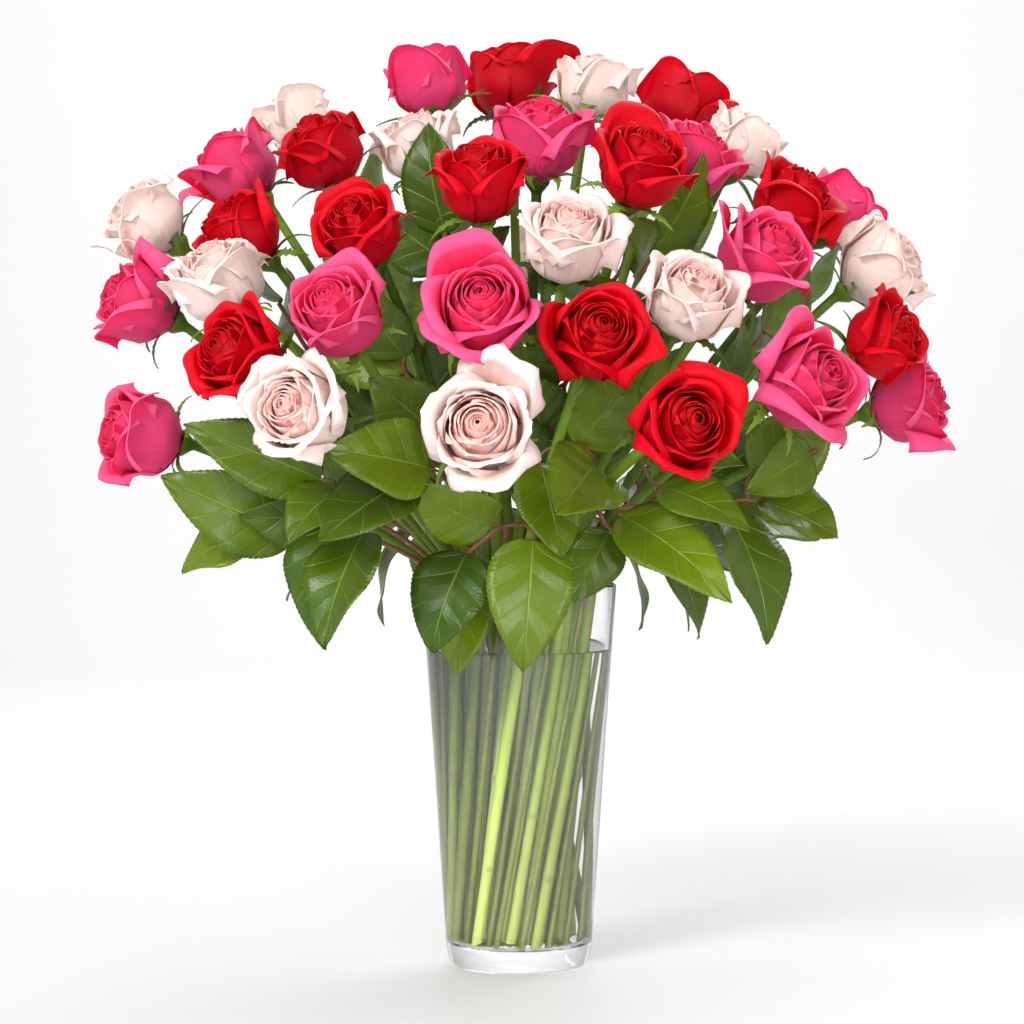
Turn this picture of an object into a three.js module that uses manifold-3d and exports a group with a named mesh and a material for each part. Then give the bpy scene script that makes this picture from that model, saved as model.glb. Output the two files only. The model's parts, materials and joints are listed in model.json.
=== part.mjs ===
// Three dozen long-stemmed roses with salal greenery, standing in a tapered glass vase of water.
//
// Millimetres, +Z up. The origin is the middle of the vase's foot, on the table. The front of the
// bouquet faces -Y. Every rose is one grown piece: its stem runs straight from the vase's floor to
// the mouth, all of them leaning the same way round as in a hand-spiralled bouquet, and curves out
// from there to its bloom. Every salal sprig is one grown piece too, a thin stalk with its leaves.
import * as THREE from "three";
import { mergeVertices } from "three/addons/utils/BufferGeometryUtils.js";
import Module from "manifold-3d";

// Vase
const RIM_Z = 229;
const FLOOR_Z = 13;
const FOOT_RADIUS = 43;
const RIM_RADIUS = 58.5;
const WALL = 3;
const VASE_SIDES = 36;
const WATER_Z = 189;

// Stems
const GAP = 0.3; // left between touching pieces
const ROSE_STEM_RADIUS = 3;
const SPRIG_STEM_RADIUS = 1.8;
const SPRIG_SIDES = 5;
const MOUTH_Z = RIM_Z + 7; // where a stem stops being straight
const MOUTH_REACH = 49; // furthest stem axis from the vase's axis, at the mouth
const MOUTH_SPACING = 11.2; // least distance between two stem axes at the mouth
const FOOT_SHARE = 0.68; // a stem's distance from the axis at the floor, as a share of that at the mouth
const SPIRAL = THREE.MathUtils.degToRad(52); // how far round the foot is from the mouth
const BENDS = 4; // points where a stem bends between the mouth and its end
const STEM_ROOM = 1.2; // kept clear between bent stems, and between a stem and a bloom

// Bouquet
const FAN_CENTRE = new THREE.Vector3(0, 40, 280); // blooms look straight away from here
const NECK_SHARE = 0.55; // a bloom's middle above its neck, as a share of its height
const BLOOM_HEIGHT = 1.85; // a bloom's height, as a share of its radius
const ROSE_SIDES = 7;
const ROSE_TWIST = 0.05; // each ring of a rose is turned on from the last, as its petals are

// Leaves
const LEAF_THICK = 0.9;
const LEAF_ROOM = 1.2; // kept clear on each side of a leaf
const LEAF_STALK_RADIUS = 1.1;
const LEAF_STALK_SIDES = 3;
const LEAF_FACE_BACK = 50; // leaves look straight away from here, behind the vase's axis
const INNER_STATIONS = [1, 0.9, 0.79, 0.68, 0.57, 0.46]; // shares of an inner sprig's length
const INNER_SPREAD = THREE.MathUtils.degToRad(55);
const INNER_LEAF_LONG = 66;
const INNER_LEAF_WIDE = 42;

const at = (x, y, z) => new THREE.Vector3(x, y, z);

// Each bloom's middle and radius: x, y, z, radius. A fifth number tips its face up by that much, as a
// share of how far it looks outwards.
const ROSES = {
  red_rose: [
    [-5, 130, 540, 32],
    [103, 130, 526, 31],
    [-112, -10, 485, 30],
    [-22, -95, 460, 30, 0.5],
    [69, -85, 469, 31],
    [-163, -25, 436, 30],
    [-89, -95, 432, 28],
    [161, -15, 453, 30],
    [40, -165, 371, 30],
    [-155, -120, 362, 30],
    [87, -185, 323, 32],
    [208, -75, 372, 28],
  ],
  hot_pink_rose: [
    [-55, 70, 535, 29],
    [12, -25, 490, 31],
    [-172, 55, 480, 31],
    [102, -10, 479, 30],
    [136, -90, 417, 32],
    [200, 65, 452, 28],
    [-223, -20, 395, 30],
    [-99, -150, 381, 30, 0.3],
    [-17, -180, 382, 33],
    [158, -130, 347, 33],
    [228, -30, 336, 30],
    [-218, -55, 317, 31],
  ],
  pale_pink_rose: [
    [44, 65, 531, 26],
    [139, 80, 496, 27],
    [-139, 110, 514, 26],
    [-63, 5, 489, 27],
    [-223, 15, 445, 29],
    [27, -125, 424, 30, 0.3],
    [-170, -80, 403, 31, 1.2],
    [94, -135, 391, 29, 0.4],
    [214, -5, 416, 31],
    [-116, -175, 332, 31],
    [-20, -195, 323, 31],
    [20, 165, 430, 29],
  ],
};
const COLOURS = { red_rose: 0xb0061a, hot_pink_rose: 0xdc1f66, pale_pink_rose: 0xf3d3d0 };

// Salal sprigs over the front of the rim. Each has the end of its stalk and its leaves, and each leaf
// has its base, its tip and its width.
const FRONT_SPRIGS = [
  {
    end: [-132, -52, 270],
    leaves: [
      [-128, -62, 260, -203, -86, 292, 48],
      [-112, -98, 293, -186, -118, 324, 42],
      [-150, -38, 262, -201, -42, 246, 44],
      [-110, -76, 270, -158, -88, 286, 36],
    ],
  },
  {
    end: [-100, -82, 275],
    leaves: [
      [-106, -84, 270, -121, -112, 204, 50],
      [-88, -110, 264, -112, -146, 208, 48],
      [-97, -118, 290, -128, -152, 268, 38],
    ],
  },
  {
    end: [-48, -98, 290],
    leaves: [
      [-62, -120, 294, -110, -158, 256, 46],
      [-50, -128, 300, -104, -160, 312, 46],
      [-14, -98, 266, -58, -128, 302, 40],
      [-46, -94, 318, -86, -110, 352, 40],
    ],
  },
  {
    end: [-8, -88, 270],
    leaves: [
      [8, -106, 260, 3, -128, 189, 50],
      [-30, -92, 252, -52, -112, 200, 46],
      [-28, -76, 244, -37, -90, 182, 40],
    ],
  },
  {
    end: [44, -80, 284],
    leaves: [
      [43, -112, 302, 36, -164, 264, 50],
      [52, -72, 262, 30, -82, 222, 34],
      [12, -92, 302, 24, -110, 248, 40],
      [34, -98, 312, 52, -112, 364, 40],
    ],
  },
  {
    end: [82, -86, 283],
    leaves: [
      [58, -98, 274, 119, -134, 232, 46],
      [80, -106, 290, 128, -136, 270, 34],
      [76, -112, 312, 122, -140, 306, 34],
    ],
  },
  {
    end: [138, -52, 284],
    leaves: [
      [122, -68, 274, 150, -92, 204, 52],
      [140, -50, 280, 186, -62, 262, 46],
      [168, -74, 308, 130, -100, 286, 34],
      [136, -58, 296, 190, -66, 316, 48],
    ],
  },
];

// Where sprigs stand round the sides and back of the rim, in degrees from the front, and the leaves
// of each: the base's degrees aside, reach and height, the tip's, and the width.
const REAR_SPRIGS = [92, 117, 142, 167, 193, 219, 246];
const REAR_END = [112, 276];
const REAR_LEAVES = [
  [-7, 80, 262, -11, 118, 204, 46],
  [0, 112, 274, 1, 184, 262, 48],
  [9, 92, 270, 13, 152, 226, 46],
  [-8, 104, 288, -12, 168, 318, 46],
  [4, 88, 302, 6, 128, 356, 44],
];

// Sprigs that stand among the roses: the end of each stalk.
const INNER_SPRIGS = [
  [-66, -62, 362],
  [30, -80, 352],
  [-44, -22, 436],
  [78, -26, 424],
  [158, 22, 392],
  [-146, 28, 398],
  [66, 104, 440],
  [-78, 108, 444],
];

// Joining and testing solids ------------------------------------------------------------------

const wasm = await Module();
wasm.setup();

function solidOf(geometry) {
  const bare = geometry.index ? geometry.toNonIndexed() : geometry.clone();
  bare.deleteAttribute("normal");
  bare.deleteAttribute("uv");
  const merged = mergeVertices(bare, 1e-3);
  const vertProperties = merged.attributes.position.array;
  const triVerts = new Uint32Array(merged.index.array);
  return new wasm.Manifold(new wasm.Mesh({ numProp: 3, vertProperties, triVerts }));
}

function geometryOf(solid) {
  const mesh = solid.getMesh();
  const position = new Float32Array(mesh.numVert * 3);
  for (let i = 0; i < mesh.numVert; i += 1) {
    const from = i * mesh.numProp;
    position.set(mesh.vertProperties.subarray(from, from + 3), i * 3);
  }
  const geometry = new THREE.BufferGeometry();
  geometry.setAttribute("position", new THREE.BufferAttribute(position, 3));
  geometry.setIndex(new THREE.BufferAttribute(mesh.triVerts, 1));
  return geometry;
}

const boxesMeet = (a, b) => [0, 1, 2].every((k) => a.min[k] < b.max[k] && b.min[k] < a.max[k]);

// A solid with its box, which most tests need only.
const held = (solid) => ({ solid, box: solid.boundingBox() });

// Whether a solid is clear of all the placed ones.
function isClear(solid, placed) {
  const box = solid.boundingBox();
  return placed.every((p) => !boxesMeet(box, p.box) || solid.intersect(p.solid).isEmpty());
}

// Largest body of a solid, without the slivers that a cut leaves.
const mainBody = (solid) => solid.decompose().sort((a, b) => b.volume() - a.volume())[0];

// Stalks --------------------------------------------------------------------------------------

// A lathed profile carried along a bent line. Ring k has radii[k] and stands at knots[k], square
// to the line there and turned by the twist on from the last, and the ends close on the line.
function stalk(knots, radii, sides, twist = 0) {
  const last = knots.length - 1;
  const profile = [new THREE.Vector2(0, 0)];
  radii.forEach((radius, k) => profile.push(new THREE.Vector2(radius, k)));
  profile.push(new THREE.Vector2(0, last));
  const along = knots.map((p, k) =>
    at(0, 0, 0)
      .subVectors(knots[Math.min(k + 1, last)], knots[Math.max(k - 1, 0)])
      .normalize(),
  );
  let across = at(1, 0, 0);
  const frames = along.map((t) => {
    across = across.clone().addScaledVector(t, -across.dot(t)).normalize().applyAxisAngle(t, twist);
    return { t, across, side: across.clone().cross(t) };
  });
  const geometry = new THREE.LatheGeometry(profile, sides);
  const position = geometry.attributes.position;
  for (let i = 0; i < position.count; i += 1) {
    const k = Math.round(position.getY(i));
    const p = knots[k]
      .clone()
      .addScaledVector(frames[k].across, position.getX(i))
      .addScaledVector(frames[k].side, position.getZ(i));
    position.setXYZ(i, p.x, p.y, p.z);
  }
  return geometry;
}

// How stems stand in the vase -----------------------------------------------------------------

// Nearest points of segments ab and cd, as shares along each, and the vector between them.
function nearest(a, b, c, d) {
  const ab = b.clone().sub(a);
  const cd = d.clone().sub(c);
  const ca = a.clone().sub(c);
  const [aa, cc, ac] = [ab.dot(ab), cd.dot(cd), ab.dot(cd)];
  const [pa, pc] = [ab.dot(ca), cd.dot(ca)];
  const clamp = (x) => Math.min(1, Math.max(0, x));
  const det = aa * cc - ac * ac;
  let s = det > 1e-9 ? clamp((ac * pc - cc * pa) / det) : 0;
  const t = clamp((ac * s + pc) / cc);
  s = clamp((ac * t - pa) / aa);
  const between = a.clone().addScaledVector(ab, s).sub(c).addScaledVector(cd, -t);
  return { s, t, between, distance: between.length() };
}

// Blooms that press on each other part, mostly front to back.
function partBlooms(blooms) {
  const give = at(0.5, 1, 0.5);
  for (let round = 0; round < 150; round += 1) {
    blooms.forEach((a, i) =>
      blooms.slice(i + 1).forEach((b) => {
        const push = a.middle.clone().sub(b.middle);
        const short = a.radius + b.radius + 1 - push.length();
        if (short > 0) {
          push.normalize().multiply(give).multiplyScalar(short * 0.6);
          a.middle.add(push);
          b.middle.sub(push);
        }
      }),
    );
  }
}

// Gives every stem its place in the mouth: those that lean least stand in the middle, and each
// keeps its own side, pushed about until none is nearer another than the spacing.
function fillMouth(stems) {
  const centre = at(0, 0, RIM_Z);
  const lean = (stem) => stem.end.clone().sub(centre).normalize().z;
  const byLean = [...stems].sort((a, b) => lean(b) - lean(a));
  byLean.forEach((stem, k) => {
    const reach = MOUTH_REACH * Math.sqrt((k + 0.5) / byLean.length);
    const turn = Math.atan2(stem.end.y, stem.end.x) - SPIRAL * 0.25;
    stem.mouth = at(reach * Math.cos(turn), reach * Math.sin(turn), MOUTH_Z);
  });
  for (let round = 0; round < 400; round += 1) {
    stems.forEach((a, i) =>
      stems.slice(i + 1).forEach((b) => {
        const push = a.mouth.clone().sub(b.mouth);
        const short = MOUTH_SPACING - push.length();
        if (short > 0) {
          push.normalize().multiplyScalar(short * 0.5);
          a.mouth.add(push);
          b.mouth.sub(push);
        }
      }),
    );
    stems.forEach(({ mouth }) => {
      const reach = Math.hypot(mouth.x, mouth.y);
      if (reach > MOUTH_REACH) {
        mouth.x *= MOUTH_REACH / reach;
        mouth.y *= MOUTH_REACH / reach;
      }
    });
  }
}

// Bends every stem from the mouth to its end, and then parts those that press on each other or on
// a bloom. Both ends stay.
function fanOut(stems, blooms) {
  stems.forEach((stem) => {
    const foot = stem.mouth.clone().multiplyScalar(FOOT_SHARE);
    foot.applyAxisAngle(at(0, 0, 1), -SPIRAL).setZ(FLOOR_Z + 2 * GAP);
    const span = stem.mouth.distanceTo(stem.end) * 0.38;
    const rise = stem.mouth.clone().sub(foot).normalize();
    const curve = new THREE.CubicBezierCurve3(
      stem.mouth,
      stem.mouth.clone().addScaledVector(rise, span),
      stem.end.clone().addScaledVector(stem.look, -span),
      stem.end,
    );
    stem.foot = foot;
    stem.bends = curve.getSpacedPoints(BENDS + 1);
  });
  for (let round = 0; round < 120; round += 1) {
    stems.forEach((a, i) => {
      stems.slice(i + 1).forEach((b) => partStems(a, b));
      blooms.filter((bloom) => bloom !== a.bloom).forEach((bloom) => partFromBloom(a, bloom));
      for (let k = 1; k <= BENDS; k += 1) {
        const middle = a.bends[k - 1].clone().add(a.bends[k + 1]).multiplyScalar(0.5);
        a.bends[k].lerp(middle, 0.06);
      }
    });
  }
}

function partStems(a, b) {
  const needed = a.radius + b.radius + STEM_ROOM;
  for (let i = 0; i <= BENDS; i += 1) {
    for (let j = 0; j <= BENDS; j += 1) {
      const near = nearest(a.bends[i], a.bends[i + 1], b.bends[j], b.bends[j + 1]);
      const short = needed - near.distance;
      if (short > 0 && near.distance > 1e-6) {
        const push = near.between.normalize().multiplyScalar(short * 0.5);
        shift(a, i, near.s, push);
        shift(b, j, near.t, push.negate());
      }
    }
  }
}

function partFromBloom(stem, bloom) {
  const needed = stem.radius + bloom.radius + STEM_ROOM;
  for (let i = 0; i <= BENDS; i += 1) {
    const [from, to] = [stem.bends[i], stem.bends[i + 1]];
    const line = new THREE.Line3(from, to);
    const share = line.closestPointToPointParameter(bloom.middle, true);
    const push = line.at(share, at(0, 0, 0)).sub(bloom.middle);
    const short = needed - push.length();
    if (short > 0) {
      shift(stem, i, share, push.normalize().multiplyScalar(short));
    }
  }
}

// Moves the segment after bend i at the given share along it. The mouth and the end stay.
function shift(stem, i, share, push) {
  if (i > 0) {
    stem.bends[i].addScaledVector(push, 1 - share);
  }
  if (i < BENDS) {
    stem.bends[i + 1].addScaledVector(push, share);
  }
}

// Roses ---------------------------------------------------------------------------------------

// A bloom's outline above its neck: shares of its height and of its radius.
const BLOOM_PROFILE = [
  [0.08, 0.25],
  [0.22, 0.62],
  [0.48, 0.95],
  [0.8, 1],
  [1, 0.74],
  [0.94, 0.25],
];

function roseGeometry(stem) {
  const { bloom } = stem;
  const knots = [stem.foot, ...stem.bends];
  const radii = knots.map(() => ROSE_STEM_RADIUS);
  BLOOM_PROFILE.forEach(([up, out]) => {
    knots.push(stem.end.clone().addScaledVector(stem.look, up * bloom.height));
    radii.push(out * bloom.radius);
  });
  return stalk(knots, radii, ROSE_SIDES, ROSE_TWIST);
}

function bloomsFrom(table) {
  return Object.entries(table).flatMap(([variety, rows]) =>
    rows.map(([x, y, z, radius, tipUp = 0], i) => ({
      name: `${variety}_${String(i + 1).padStart(2, "0")}`,
      variety,
      middle: at(x, y, z),
      radius,
      height: radius * BLOOM_HEIGHT,
      tipUp,
    })),
  );
}

function roseStem(bloom) {
  const look = bloom.middle.clone().sub(FAN_CENTRE).normalize();
  look.z += bloom.tipUp;
  look.normalize();
  const end = bloom.middle.clone().addScaledVector(look, -NECK_SHARE * bloom.height);
  return { bloom, look, end, radius: ROSE_STEM_RADIUS };
}

// Sprigs --------------------------------------------------------------------------------------

// Right half of a leaf's outline from its base to its tip: shares of its length and half its width.
const LEAF_OUTLINE = [
  [0, 0.08],
  [0.26, 0.95],
  [0.66, 0.84],
];

// A flat leaf lying along +Y with its upper side to +Z.
function leafGeometry({ long, wide }, thick) {
  const right = LEAF_OUTLINE.map(([up, out]) => new THREE.Vector2((out * wide) / 2, up * long));
  const left = right.map(({ x, y }) => new THREE.Vector2(-x, y)).reverse();
  const shape = new THREE.Shape([...right, new THREE.Vector2(0, long), ...left]);
  const geometry = new THREE.ExtrudeGeometry(shape, { depth: thick, bevelEnabled: false });
  return geometry.translate(0, 0, -thick / 2);
}

// The ways a leaf may turn to find a free place, in degrees: about its length, and its tip up and
// aside. The least come first.
const TURNS = [0, -15, 15, -30, 30, -45, 45]
  .flatMap((roll) => [0, 8, -8, 16, -16, 24, -24].map((lift) => [roll, lift]))
  .flatMap(([roll, lift]) => [0, 8, -8, 16, -16].map((aside) => [roll, lift, aside]))
  .sort((a, b) => Math.hypot(...a) - Math.hypot(...b))
  .map((turn) => turn.map(THREE.MathUtils.degToRad));

// Where a leaf lies after a turn. Its face looks out from the bouquet's middle and a little up.
function leafPlace({ base, tip }, [roll, lift, aside]) {
  const aim = tip.clone().sub(base).normalize();
  const up = at(base.x, base.y - LEAF_FACE_BACK, 0).normalize().setZ(0.3);
  up.addScaledVector(aim, -up.dot(aim)).normalize();
  aim.applyAxisAngle(aim.clone().cross(up), lift).applyAxisAngle(up, aside);
  up.addScaledVector(aim, -up.dot(aim)).normalize().applyAxisAngle(aim, roll);
  return new THREE.Matrix4().makeBasis(aim.clone().cross(up), aim, up).setPosition(base);
}

// A leaf's own short stalk, from a point beside the sprig's stalk into the leaf.
function leafStalk(leaf, place, from, room) {
  const into = leaf.base.clone().add(at(0, 2, 0).transformDirection(place).multiplyScalar(2));
  const radius = LEAF_STALK_RADIUS + room;
  return solidOf(stalk([from, into], [radius, radius], LEAF_STALK_SIDES));
}

// Adds a leaf to a sprig if one of its turns is clear of everything placed.
function addLeaf(sprig, leaf, placed) {
  const root = nearestOnStalk(sprig, leaf.base);
  const beside = root.clone().lerp(leaf.base, Math.min(0.6, 5 / root.distanceTo(leaf.base)));
  for (const turn of TURNS) {
    const place = leafPlace(leaf, turn);
    const blade = solidOf(leafGeometry(leaf, LEAF_THICK + 2 * LEAF_ROOM).applyMatrix4(place));
    if (isClear(blade, [...sprig.leaves, ...placed])) {
      const room = leafStalk(leaf, place, beside, GAP);
      if (isClear(room, placed)) {
        const thin = solidOf(leafGeometry(leaf, LEAF_THICK).applyMatrix4(place));
        sprig.leaves.push(held(thin.add(leafStalk(leaf, place, root, 0))));
        return;
      }
    }
  }
}

// The point on a sprig's stalk nearest to a little below a leaf's base, so that the leaf's own
// stalk leans outwards.
function nearestOnStalk(sprig, base) {
  const below = base.clone().setZ(base.z - 6);
  const points = new THREE.CatmullRomCurve3(sprig.bends.slice(1)).getSpacedPoints(40).slice(0, -1);
  return points.sort((p, q) => p.distanceTo(below) - q.distanceTo(below))[0];
}

const leafOf = ([x, y, z, tipX, tipY, tipZ, wide]) => {
  const [base, tip] = [at(x, y, z), at(tipX, tipY, tipZ)];
  return { base, tip, long: base.distanceTo(tip), wide };
};

// A sprig at the side or back of the rim: its leaves stand about it in the same way each time.
function rearSprig(degrees) {
  const round = (aside, reach, height) => {
    const turn = THREE.MathUtils.degToRad(degrees + aside);
    return [reach * Math.sin(turn), -reach * Math.cos(turn), height];
  };
  return {
    end: round(0, ...REAR_END),
    leaves: REAR_LEAVES.map(([aside, reach, height, tipAside, tipReach, tipHeight, wide]) => [
      ...round(aside, reach, height),
      ...round(tipAside, tipReach, tipHeight),
      wide,
    ]),
  };
}

function sprigStem({ end, leaves = [] }, rise) {
  const tip = at(...end);
  const look = at(tip.x, tip.y, 0).normalize().setZ(rise).normalize();
  const wanted = leaves.map(leafOf);
  return { end: tip, look, radius: SPRIG_STEM_RADIUS, wanted, leaves: [] };
}

// Leaves of a sprig among the roses: one on its end, and others left and right in turn.
function leavesAlong(sprig) {
  const curve = new THREE.CatmullRomCurve3(sprig.bends);
  return INNER_STATIONS.map((share, k) => {
    const along = curve.getTangentAt(share);
    const face = at(along.x, along.y, 0).normalize().setZ(0.5);
    face.addScaledVector(along, -face.dot(along)).normalize();
    const aside = share === 1 ? 0 : INNER_SPREAD * (k % 2 ? 1 : -1);
    const aim = along.applyAxisAngle(face, aside);
    const base = curve.getPointAt(share).addScaledVector(aim, share === 1 ? 1 : 9);
    const tip = base.clone().addScaledVector(aim, INNER_LEAF_LONG);
    return { base, tip, long: INNER_LEAF_LONG, wide: INNER_LEAF_WIDE };
  });
}

const sprigStalk = ({ foot, bends, radius }) => {
  const knots = [foot, ...bends];
  const radii = knots.map(() => radius);
  return solidOf(stalk(knots, radii, SPRIG_SIDES));
};

// Vase and water ------------------------------------------------------------------------------

const wallRadius = (z) => THREE.MathUtils.mapLinear(z, 0, RIM_Z, FOOT_RADIUS, RIM_RADIUS) - WALL;
const lathed = (points) =>
  new THREE.LatheGeometry(
    points.map(([x, z]) => new THREE.Vector2(x, z)),
    VASE_SIDES,
  ).rotateX(Math.PI / 2);

// Pressed glass with a thick foot and a fire-rounded rim.
const vaseGeometry = () =>
  lathed([
    [0, 0],
    [FOOT_RADIUS - 5, 0],
    [FOOT_RADIUS - 1, 2],
    [FOOT_RADIUS, 6],
    [RIM_RADIUS, RIM_Z - 1.5],
    [RIM_RADIUS - WALL / 2, RIM_Z],
    [RIM_RADIUS - WALL, RIM_Z - 1.5],
    [wallRadius(FLOOR_Z + 6), FLOOR_Z + 6],
    [wallRadius(FLOOR_Z) - 4, FLOOR_Z],
    [0, FLOOR_Z],
  ]);

// Water fills the vase round the stems, which stand in it.
function waterSolid(stems) {
  const floor = FLOOR_Z + GAP;
  const body = lathed([
    [0, floor],
    [wallRadius(floor) - 5, floor],
    [wallRadius(FLOOR_Z + 6) - 2 * GAP, FLOOR_Z + 6],
    [wallRadius(WATER_Z) - 2 * GAP, WATER_Z],
    [0, WATER_Z],
  ]);
  const sides = 5;
  const holes = stems.map(({ foot, mouth, radius }) => {
    const room = (radius + 2 * GAP) / Math.cos(Math.PI / sides);
    const rise = mouth.clone().sub(foot).normalize();
    const below = foot.clone().addScaledVector(rise, -4);
    return solidOf(stalk([below, mouth], [room, room], sides));
  });
  return mainBody(wasm.Manifold.difference([solidOf(body), ...holes]));
}

// The whole bouquet ---------------------------------------------------------------------------

const material = (color, roughness, more = {}) =>
  new THREE.MeshStandardMaterial({ color, roughness, ...more });
const clear = { transparent: true, opacity: 0.3 };
const glass = material(0xeef4f3, 0.05, clear);
const water = material(0xe6f0ea, 0.02, clear);
const salal = material(0x4a7a1e, 0.45);

const bouquet = new THREE.Group();
const placed = [];

function place(name, solid, finish) {
  const mesh = new THREE.Mesh(geometryOf(solid), finish);
  mesh.name = name;
  bouquet.add(mesh);
  placed.push(held(solid));
}

const blooms = bloomsFrom(ROSES);
partBlooms(blooms);
const roses = blooms.map(roseStem);
const rimSprigs = [...FRONT_SPRIGS, ...REAR_SPRIGS.map(rearSprig)].map((row) => sprigStem(row, -0.3));
const innerSprigs = INNER_SPRIGS.map((end) => sprigStem({ end }, 1.4));
const sprigs = [...rimSprigs, ...innerSprigs];
const stems = [...roses, ...sprigs];
fillMouth(stems);
fanOut(stems, blooms);
innerSprigs.forEach((sprig) => sprig.wanted.push(...leavesAlong(sprig)));

place("vase", solidOf(vaseGeometry()), glass);
place("water", waterSolid(stems), water);
roses.forEach((rose) => {
  const finish = material(COLOURS[rose.bloom.variety], 0.6);
  place(rose.bloom.name, solidOf(roseGeometry(rose)), finish);
});
const stalks = sprigs.map((sprig) => held(sprigStalk(sprig)));
sprigs.forEach((sprig, i) => {
  const others = stalks.filter((_, k) => k > i);
  const name = `salal_sprig_${String(i + 1).padStart(2, "0")}`;
  sprig.wanted.forEach((leaf) => addLeaf(sprig, leaf, [...placed, ...others]));
  const parts = [stalks[i].solid, ...sprig.leaves.map((leaf) => leaf.solid)];
  place(name, wasm.Manifold.union(parts), salal);
});

export default bouquet;
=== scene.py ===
import json
import math

import bpy
import numpy as np
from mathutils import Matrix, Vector


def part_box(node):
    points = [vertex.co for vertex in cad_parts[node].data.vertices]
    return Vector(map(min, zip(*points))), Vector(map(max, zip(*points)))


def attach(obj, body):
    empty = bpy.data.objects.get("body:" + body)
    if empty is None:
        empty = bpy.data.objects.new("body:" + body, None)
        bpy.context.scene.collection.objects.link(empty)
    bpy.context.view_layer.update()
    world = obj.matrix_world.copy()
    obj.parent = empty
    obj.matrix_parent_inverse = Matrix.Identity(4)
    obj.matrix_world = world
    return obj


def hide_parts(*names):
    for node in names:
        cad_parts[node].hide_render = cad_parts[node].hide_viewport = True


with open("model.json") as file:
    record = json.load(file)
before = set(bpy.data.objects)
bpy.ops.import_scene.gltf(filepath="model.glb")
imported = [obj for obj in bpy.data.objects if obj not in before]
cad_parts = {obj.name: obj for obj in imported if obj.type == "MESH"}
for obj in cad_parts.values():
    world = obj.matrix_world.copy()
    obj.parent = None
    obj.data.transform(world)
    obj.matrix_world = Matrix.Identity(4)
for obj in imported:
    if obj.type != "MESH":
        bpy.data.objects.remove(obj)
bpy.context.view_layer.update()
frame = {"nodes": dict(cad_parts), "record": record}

MM = 0.001

# ---------------------------------------------------------------------------------------------
# The table, the light and the camera. A pale table top sweeps up behind the bouquet into a white
# wall. A large soft box stands at the upper left, a weaker one fills from the front, and two more light
# the bouquet's back and the wall. The camera looks almost level from 1.85 m.
# ---------------------------------------------------------------------------------------------

EYE = Vector((0.0, -1.85, 0.321))
LENS = 108.4
TILT_DOWN = math.radians(1.52)
TURN_LEFT = math.radians(0.13)

camera = bpy.data.objects.new("camera", bpy.data.cameras.new("camera"))
camera.data.lens = LENS
camera.data.sensor_width = 36
camera.location = EYE
camera.rotation_euler = (math.pi / 2 - TILT_DOWN, 0, TURN_LEFT)
bpy.context.scene.collection.objects.link(camera)
bpy.context.scene.camera = camera
bpy.context.scene.view_settings.view_transform = "Standard"


def studio_air(front, back):
    """Plain light from all round, dimmer from the camera's side than from behind the bouquet."""
    world = bpy.data.worlds.new("studio")
    world.use_nodes = True
    tree = world.node_tree
    place = tree.nodes.new("ShaderNodeTexCoord")
    direction = tree.nodes.new("ShaderNodeSeparateXYZ")
    strength = tree.nodes.new("ShaderNodeMapRange")
    for socket, value in {"From Min": -1, "From Max": 1, "To Min": front, "To Max": back}.items():
        strength.inputs[socket].default_value = value
    tree.links.new(place.outputs["Generated"], direction.inputs["Vector"])
    tree.links.new(direction.outputs["Y"], strength.inputs["Value"])
    tree.links.new(strength.outputs["Result"], tree.nodes["Background"].inputs["Strength"])
    tree.nodes["Background"].inputs["Color"].default_value = (1.0, 0.995, 0.99, 1)
    bpy.context.scene.world = world


studio_air(0.5, 1.0)


def soft_box(name, place, aim, size, watts):
    """A square area lamp at place, turned to shine at aim."""
    lamp = bpy.data.lights.new(name, "AREA")
    lamp.size = size
    lamp.energy = watts
    holder = bpy.data.objects.new(name, lamp)
    holder.location = place
    holder.rotation_euler = (Vector(aim) - Vector(place)).to_track_quat("-Z", "Y").to_euler()
    bpy.context.scene.collection.objects.link(holder)


soft_box("key_light", (-1.3, -1.9, 1.5), (0, 0, 0.35), 0.8, 50)
soft_box("fill_light", (0.5, -2.4, 0.6), (0, 0, 0.35), 1.0, 30)
soft_box("back_light", (0.9, 1.5, 1.6), (0, 0, 0.35), 1.0, 16)
soft_box("wall_light", (0, 1.9, 2.6), (0, 3.4, 0.9), 2.0, 40)


def link_mesh(name, points, *faces):
    """A new smooth object at the origin: points in metres, and arrays of faces, rows of point numbers."""
    rows = []
    for group in faces:
        rows += group.reshape(-1, group.shape[-1]).tolist()
    mesh = bpy.data.meshes.new(name)
    mesh.from_pydata(points.reshape(-1, 3), [], rows)
    mesh.shade_smooth()
    piece = bpy.data.objects.new(name, mesh)
    bpy.context.scene.collection.objects.link(piece)
    return piece


def grid_faces(across, along, wrap=False):
    """Quads of a grid of across by along points, numbered along first. With wrap, the last row across
    joins the first."""
    i = np.arange(across if wrap else across - 1)[:, None]
    j = np.arange(along - 1)[None]
    beside = (i + 1) % across
    return np.stack([i * along + j, beside * along + j, beside * along + j + 1, i * along + j + 1], -1)


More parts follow.
